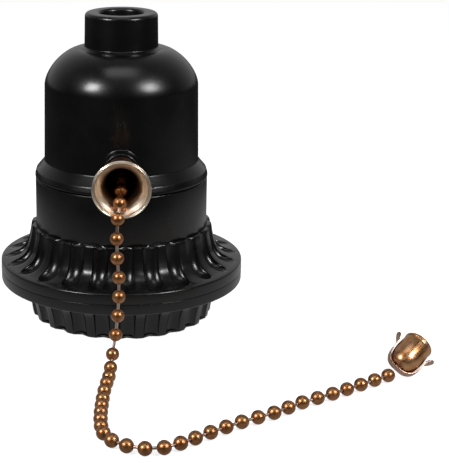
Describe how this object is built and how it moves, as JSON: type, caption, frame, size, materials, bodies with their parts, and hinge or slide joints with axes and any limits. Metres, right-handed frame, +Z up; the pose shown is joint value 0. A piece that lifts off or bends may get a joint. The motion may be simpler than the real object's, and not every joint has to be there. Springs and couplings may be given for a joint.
{
  "type": "pull chain lampholder switch",
  "caption": "Moulded lampholder with a side pull chain switch, chain bell, ball chain with an end cup, threaded neck and two fluted shade rings.",
  "frame": {"origin": "on the lamp axis, in the plane that the lower shade ring rests on", "axes": "+Z up the lamp axis from the lamp opening to the threaded neck; the chain bell points along -Y"},
  "size_m": [0.0974, 0.1131, 0.0727],
  "materials": {
    "phenolic": "satin gloss black moulded phenolic",
    "inner_phenolic": "matt dark brown moulded phenolic",
    "copper_plate": "polished copper plated brass",
    "antique_bronze": "antique bronze plated brass",
    "clip_steel": "thin copper flash on spring steel",
    "brass": "plain brass",
    "spring_bronze": "phosphor bronze strip",
    "zinc_steel": "zinc plated steel"
  },
  "bodies": {
    "lampholder": {"cap": "phenolic", "neck_bushing": "zinc_steel", "neck_set_screw": "zinc_steel", "shell": "phenolic", "chain_bell": "copper_plate", "bell_lock_nut": "brass", "core_base": "inner_phenolic", "screw_shell": "brass", "screw_shell_rivet_1": "brass", "screw_shell_rivet_2": "brass", "tongue_rivet": "brass", "neutral_terminal": "brass", "neutral_screw": "brass", "live_screw": "brass", "live_blade": "spring_bronze", "lamp_blade": "spring_bronze", "switch_frame": "zinc_steel", "frame_screw_1": "zinc_steel", "frame_screw_2": "zinc_steel", "ratchet_spindle": "zinc_steel", "return_spring": "zinc_steel"},
    "upper_ring": {"upper_shade_ring": "phenolic"},
    "lower_ring": {"lower_shade_ring": "phenolic"},
    "chain": {"pull_chain": "antique_bronze", "anchor_ball": "antique_bronze", "end_cup": "antique_bronze", "end_clip": "clip_steel"},
    "lever": {"pull_lever": "zinc_steel", "pawl": "spring_bronze"},
    "rotor": {"ratchet_wheel": "zinc_steel", "switch_drum": "inner_phenolic", "rotor_contact": "brass"},
    "tongue": {"centre_tongue": "spring_bronze"}
  },
  "joints": [
    {"name": "chain_pull", "type": "slide", "parent": "lampholder", "child": "chain", "axis": [0, -1, 0], "range_m": [0, 0.00735], "stiffness_N_per_m": 300, "springref_m": -0.01, "deforming": ["return_spring"]},
    {"name": "lever_swing", "type": "hinge", "parent": "lampholder", "child": "lever", "pos_m": [0, -0.0065, 0.05], "axis": [-1, 0, 0], "range_deg": [0, 45]},
    {"name": "rotor_turn", "type": "hinge", "parent": "lampholder", "child": "rotor", "pos_m": [0, -0.0065, 0.05], "axis": [-1, 0, 0], "range_deg": [0, 45]},
    {"name": "centre_tongue_flex", "type": "hinge", "parent": "lampholder", "child": "tongue", "pos_m": [0.0032, 0, 0.0236], "axis": [0, 1, 0], "range_deg": [0, 4], "stiffness_Nm_per_rad": 0.05},
    {"name": "upper_ring_turn", "type": "hinge", "parent": "lampholder", "child": "upper_ring", "pos_m": [0, 0, 0.017], "axis": [0, 0, 1], "continuous": true},
    {"name": "lower_ring_turn", "type": "hinge", "parent": "lampholder", "child": "lower_ring", "pos_m": [0, 0, 0.0055], "axis": [0, 0, 1], "continuous": true}
  ],
  "couplings": [
    {"joint": "lever_swing", "follows": "chain_pull", "rad_per_m": 106.8},
    {"joint": "rotor_turn", "follows": "chain_pull", "rad_per_m": 106.8}
  ]
}
